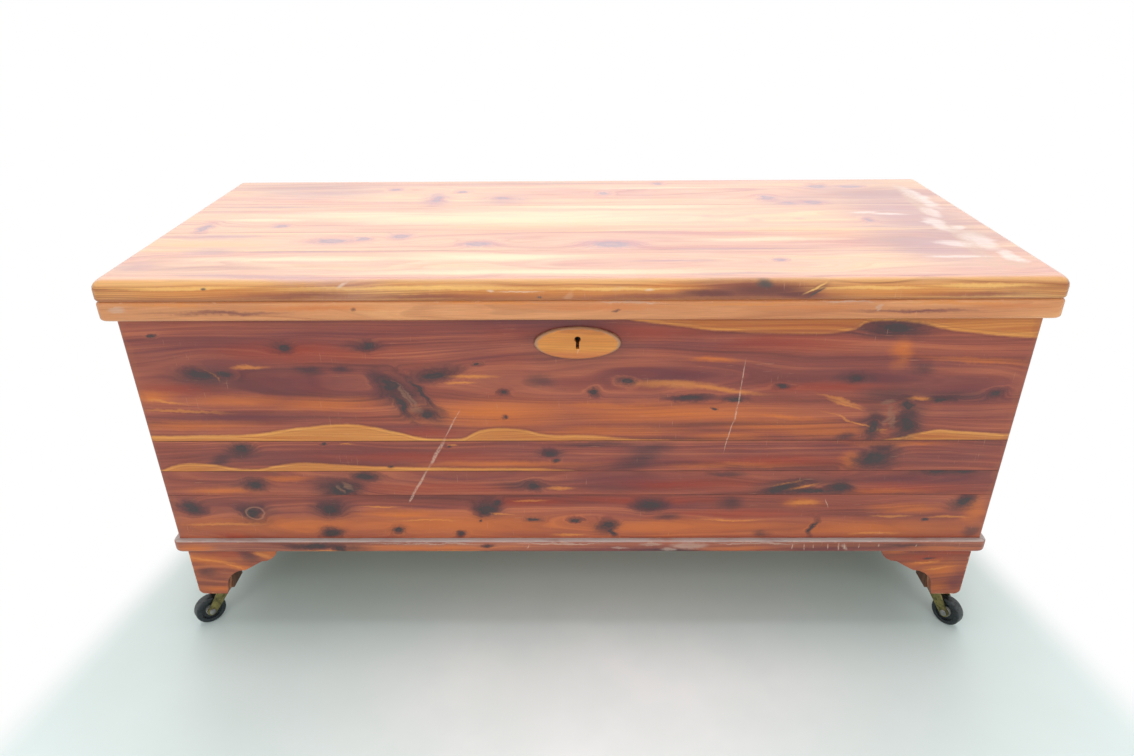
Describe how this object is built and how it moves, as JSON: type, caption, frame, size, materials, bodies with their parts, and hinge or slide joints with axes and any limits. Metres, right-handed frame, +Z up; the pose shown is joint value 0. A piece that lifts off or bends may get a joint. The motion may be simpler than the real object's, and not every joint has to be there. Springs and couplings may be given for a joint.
{
  "type": "blanket chest",
  "caption": "Low rectangular wooden blanket chest with a hinged lipped lid, oval keyhole plate, nosed base frame, scroll-cut bracket feet and swivel casters.",
  "frame": {"origin": "on the floor, below the middle of the chest's bounding box", "axes": "+Z up, the front and its keyhole face -Y, the chest's length runs along X"},
  "size_m": [1.0932, 0.4606, 0.5227],
  "materials": {
    "cedar": "lacquered red cedar with knots, satin",
    "raw_cedar": "bare planed cedar, matt",
    "pale_cedar": "lacquered cedar sapwood, satin",
    "brass": "dull plated brass",
    "steel": "plain plated steel",
    "black_wheel": "glossy hard black rubber"
  },
  "bodies": {
    "case": {"front_board_1": "cedar", "front_board_2": "cedar", "front_board_3": "cedar", "front_board_4": "cedar", "back_board_1": "cedar", "back_board_2": "cedar", "left_end_board_1": "cedar", "left_end_board_2": "cedar", "right_end_board_1": "cedar", "right_end_board_2": "cedar", "bottom_panel": "raw_cedar", "base_front_rail": "cedar", "base_back_rail": "cedar", "base_left_rail": "cedar", "base_right_rail": "cedar", "front_left_foot_face": "cedar", "front_left_foot_side": "cedar", "front_left_foot_post": "raw_cedar", "front_right_foot_face": "cedar", "front_right_foot_side": "cedar", "front_right_foot_post": "raw_cedar", "back_left_foot_side": "cedar", "back_left_foot_post": "raw_cedar", "back_right_foot_side": "cedar", "back_right_foot_post": "raw_cedar", "escutcheon": "pale_cedar", "lock_case": "steel", "left_hinge_lower_leaf": "brass", "right_hinge_lower_leaf": "brass", "left_hinge_pin": "brass", "right_hinge_pin": "brass", "stay_case_bracket": "brass"},
    "lid": {"lid_board_1": "cedar", "lid_board_2": "cedar", "lid_board_3": "cedar", "lid_board_4": "cedar", "lid_front_rail": "cedar", "lid_left_rail": "cedar", "lid_right_rail": "cedar", "left_lid_batten": "raw_cedar", "right_lid_batten": "raw_cedar", "left_hinge_upper_leaf": "brass", "right_hinge_upper_leaf": "brass", "lock_strike": "brass", "stay_lid_bracket": "brass"},
    "lower_stay_arm": {"stay_lower_arm": "brass"},
    "upper_stay_arm": {"stay_upper_arm": "brass"},
    "bolt": {"lock_bolt": "brass"},
    "front_left_fork": {"front_left_caster_fork": "brass", "front_left_caster_axle": "steel"},
    "front_left_wheel": {"front_left_caster_wheel": "black_wheel"},
    "front_right_fork": {"front_right_caster_fork": "brass", "front_right_caster_axle": "steel"},
    "front_right_wheel": {"front_right_caster_wheel": "black_wheel"},
    "back_left_fork": {"back_left_caster_fork": "brass", "back_left_caster_axle": "steel"},
    "back_left_wheel": {"back_left_caster_wheel": "black_wheel"},
    "back_right_fork": {"back_right_caster_fork": "brass", "back_right_caster_axle": "steel"},
    "back_right_wheel": {"back_right_caster_wheel": "black_wheel"}
  },
  "joints": [
    {"name": "lid_hinge", "type": "hinge", "parent": "case", "child": "lid", "pos_m": [0, 0.2267, 0.49715], "axis": [-1, 0, 0], "range_deg": [0, 100]},
    {"name": "stay_lower_pivot", "type": "hinge", "parent": "case", "child": "lower_stay_arm", "pos_m": [0.512, 0.08112, 0.461], "axis": [-1, 0, 0], "range_deg": [0, 100]},
    {"name": "stay_upper_pivot", "type": "hinge", "parent": "lid", "child": "upper_stay_arm", "pos_m": [0.508, 0.07704, 0.487], "axis": [-1, 0, 0], "range_deg": [-100, 0]},
    {"name": "lock_bolt_slide", "type": "slide", "parent": "case", "child": "bolt", "axis": [1, 0, 0], "range_m": [0, 0.013]},
    {"name": "front_left_swivel", "type": "hinge", "parent": "case", "child": "front_left_fork", "pos_m": [-0.5065, -0.1902, 0.053], "axis": [0, 0, 1], "continuous": true},
    {"name": "front_left_roll", "type": "hinge", "parent": "front_left_fork", "child": "front_left_wheel", "pos_m": [-0.52434, -0.20626, 0.02065], "axis": [0.6691, -0.7431, 0], "continuous": true},
    {"name": "front_right_swivel", "type": "hinge", "parent": "case", "child": "front_right_fork", "pos_m": [0.5065, -0.1902, 0.053], "axis": [0, 0, 1], "continuous": true},
    {"name": "front_right_roll", "type": "hinge", "parent": "front_right_fork", "child": "front_right_wheel", "pos_m": [0.52061, -0.20962, 0.02065], "axis": [0.809, 0.5878, 0], "continuous": true},
    {"name": "back_left_swivel", "type": "hinge", "parent": "case", "child": "back_left_fork", "pos_m": [-0.5065, 0.1958, 0.053], "axis": [0, 0, 1], "continuous": true},
    {"name": "back_left_roll", "type": "hinge", "parent": "back_left_fork", "child": "back_left_wheel", "pos_m": [-0.48395, 0.18759, 0.02065], "axis": [0.342, 0.9397, 0], "continuous": true},
    {"name": "back_right_swivel", "type": "hinge", "parent": "case", "child": "back_right_fork", "pos_m": [0.5065, 0.1958, 0.053], "axis": [0, 0, 1], "continuous": true},
    {"name": "back_right_roll", "type": "hinge", "parent": "back_right_fork", "child": "back_right_wheel", "pos_m": [0.48493, 0.18528, 0.02065], "axis": [0.4384, -0.8988, 0], "continuous": true}
  ],
  "couplings": [
    {"joint": "stay_lower_pivot", "follows": "lid_hinge", "ratio": 1},
    {"joint": "stay_upper_pivot", "follows": "lid_hinge", "ratio": -1}
  ]
}
